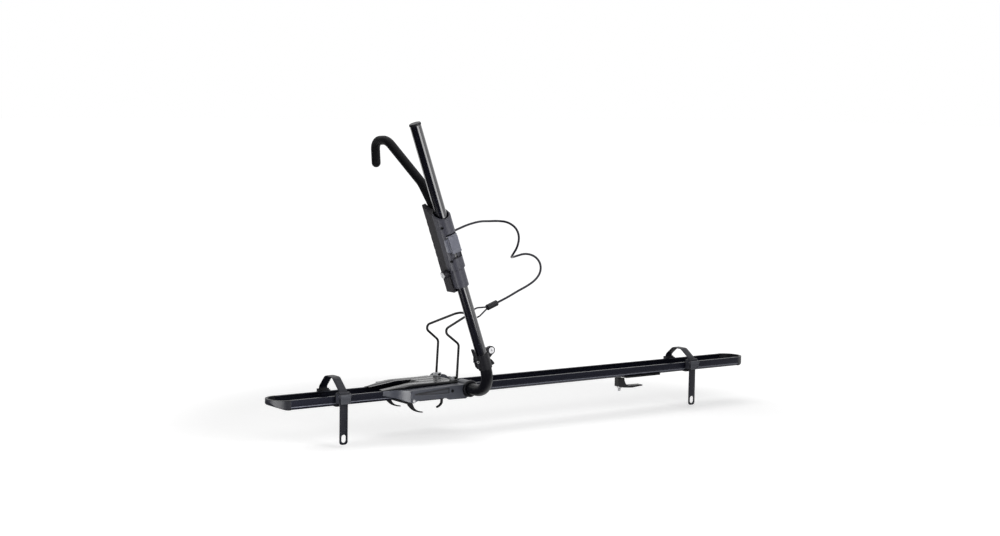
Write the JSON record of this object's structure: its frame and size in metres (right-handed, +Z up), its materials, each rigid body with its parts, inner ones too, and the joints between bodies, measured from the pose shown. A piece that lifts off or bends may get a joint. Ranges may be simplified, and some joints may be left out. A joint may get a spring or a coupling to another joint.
{
  "type": "roof bike carrier",
  "caption": "Roof rack bicycle carrier: wheel tray on two bar clamps, with a fold-down arm whose sliding hook holds the front wheel.",
  "frame": {"origin": "centre of the front saddle pad's underside, where it rests on the front roof bar", "axes": "+X along the tray towards the rear of the car, +Y across it away from the arm, +Z up"},
  "size_m": [1.62, 0.3129, 0.8389],
  "materials": {
    "tray": "satin anodised, blue-black",
    "end_cap": "matt",
    "housing": "matt slate grey",
    "steel_plate": "black zinc coat",
    "pad": "matt",
    "fastener": "zinc plated",
    "black_screw": "black oxide",
    "bright_pin": "polished",
    "cradle": "high gloss",
    "bracket": "satin",
    "wire": "black powder coat",
    "flange": "semi-gloss",
    "bush": "matt",
    "arm": "gloss black",
    "collar": "matt",
    "lock": "satin",
    "slider": "matt",
    "lever": "satin",
    "hook_core": "black",
    "hook_cover": "matt",
    "cable": "satin cover",
    "cable_fitting": "matt",
    "anchor": "black",
    "knob": "matt",
    "strap": "satin",
    "carrier": "matt",
    "buckle": "matt",
    "buckle_lever": "matt"
  },
  "bodies": {
    "base": {"tray_extrusion": "tray", "front_end_cap": "end_cap", "rear_end_cap": "end_cap", "near_cheek": "housing", "far_cheek": "housing", "saddle_bracket": "steel_plate", "saddle_pad": "pad", "tray_studs": "fastener", "saddle_screws": "fastener", "housing_screws": "black_screw", "jaw_pins": "bright_pin", "cradle_top": "cradle", "hoop_brackets": "bracket", "pivot_flange": "flange", "pivot_bush": "bush"},
    "arm": {"pivot_shaft": "fastener", "pivot_clip": "fastener", "arm_elbow": "arm", "arm_tube": "arm", "arm_end_cap": "collar", "arm_collar": "collar", "collar_screw": "fastener"},
    "collar_lock": {"collar_lock": "lock"},
    "slider": {"slider_near_shell": "slider", "slider_inner_shell": "slider", "slider_screws": "black_screw", "lever_pin": "fastener", "hook_bar": "hook_core", "hook_sleeve": "hook_cover", "hook_tip": "hook_cover", "cable_plug": "cable_fitting", "cable": "cable", "cable_ferrule": "cable_fitting", "cable_eye": "cable", "cable_anchor": "anchor"},
    "release_lever": {"release_lever": "lever"},
    "slider_lock": {"slider_lock": "lock"},
    "hoop": {"wheel_hoop": "wire"},
    "front_jaws": {"near_jaw": "steel_plate", "far_jaw": "steel_plate", "jaw_tie_bar": "steel_plate"},
    "clamp_nut": {"clamp_nut": "fastener"},
    "clamp_screw": {"clamp_screw": "fastener", "clamp_knob": "knob"},
    "rear_clamp": {"rear_pad": "pad", "rear_bolt": "fastener"},
    "rear_jaw": {"rear_jaw": "steel_plate"},
    "rear_nut": {"rear_nut": "fastener"},
    "front_strap": {"front_strap_carrier": "carrier", "front_strap": "strap", "front_buckle": "buckle", "front_buckle_pin": "fastener"},
    "front_buckle_lever": {"front_buckle_lever": "buckle_lever"},
    "rear_strap": {"rear_strap_carrier": "carrier", "rear_strap": "strap", "rear_buckle": "buckle", "rear_buckle_pin": "fastener"},
    "rear_buckle_lever": {"rear_buckle_lever": "buckle_lever"}
  },
  "joints": [
    {"name": "arm_fold", "type": "hinge", "parent": "base", "child": "arm", "pos_m": [0.12, -0.092, 0.0237], "axis": [0, 1, 0], "range_deg": [-15, 106]},
    {"name": "hook_slide", "type": "slide", "parent": "arm", "child": "slider", "axis": [-0.3371, 0, 0.9415], "range_m": [-0.13, 0.05]},
    {"name": "release_lever_press", "type": "hinge", "parent": "slider", "child": "release_lever", "pos_m": [-0.0327, -0.2153, 0.45019], "axis": [-0.9415, 0, -0.3371], "range_deg": [0, 18], "stiffness_Nm_per_rad": 0.3, "springref_deg": -5.73},
    {"name": "slider_lock_turn", "type": "hinge", "parent": "slider", "child": "slider_lock", "pos_m": [-0.03289, -0.1785, 0.3439], "axis": [0.9415, 0, 0.3371], "range_deg": [0, 90]},
    {"name": "collar_lock_turn", "type": "hinge", "parent": "arm", "child": "collar_lock", "pos_m": [0.1092, -0.195, 0.14198], "axis": [0, 1, 0], "range_deg": [0, 90]},
    {"name": "hoop_fold", "type": "hinge", "parent": "base", "child": "hoop", "pos_m": [0.102, 0, 0.0472], "axis": [0, 1, 0], "range_deg": [-10, 72]},
    {"name": "clamp_knob_turn", "type": "hinge", "parent": "base", "child": "clamp_screw", "pos_m": [0.15, 0.067, 0.02], "axis": [1, 0, 0], "range_deg": [0, 360]},
    {"name": "front_jaw_swing", "type": "hinge", "parent": "base", "child": "front_jaws", "pos_m": [-0.06, 0, 0.005], "axis": [0, 1, 0], "range_deg": [0, 18]},
    {"name": "clamp_nut_tilt", "type": "hinge", "parent": "front_jaws", "child": "clamp_nut", "pos_m": [-0.06, 0.067, 0.02], "axis": [0, 1, 0], "range_deg": [-18, 0]},
    {"name": "rear_clamp_slide", "type": "slide", "parent": "base", "child": "rear_clamp", "axis": [1, 0, 0], "range_m": [-0.4, 0.03]},
    {"name": "rear_jaw_drop", "type": "slide", "parent": "rear_clamp", "child": "rear_jaw", "axis": [0, 0, -1], "range_m": [0, 0.009]},
    {"name": "rear_nut_turn", "type": "hinge", "parent": "rear_jaw", "child": "rear_nut", "pos_m": [0.709, 0, -0.0315], "axis": [0, 0, 1], "range_deg": [0, 1080]},
    {"name": "front_strap_slide", "type": "slide", "parent": "base", "child": "front_strap", "axis": [1, 0, 0], "range_m": [-0.1, 0.08]},
    {"name": "front_buckle_press", "type": "hinge", "parent": "front_strap", "child": "front_buckle_lever", "pos_m": [-0.255, -0.0642, 0.031], "axis": [-1, 0, 0], "range_deg": [0, 60], "stiffness_Nm_per_rad": 0.03, "springref_deg": -11.46},
    {"name": "rear_strap_slide", "type": "slide", "parent": "base", "child": "rear_strap", "axis": [1, 0, 0], "range_m": [-0.01, 0.12]},
    {"name": "rear_buckle_press", "type": "hinge", "parent": "rear_strap", "child": "rear_buckle_lever", "pos_m": [0.939, -0.0642, 0.031], "axis": [-1, 0, 0], "range_deg": [0, 60], "stiffness_Nm_per_rad": 0.03, "springref_deg": -11.46}
  ],
  "couplings": [
    {"joint": "front_jaw_swing", "follows": "clamp_knob_turn", "ratio": 0.05},
    {"joint": "clamp_nut_tilt", "follows": "clamp_knob_turn", "ratio": -0.05},
    {"joint": "rear_nut_turn", "follows": "rear_jaw_drop", "rad_per_m": 2094.4}
  ]
}
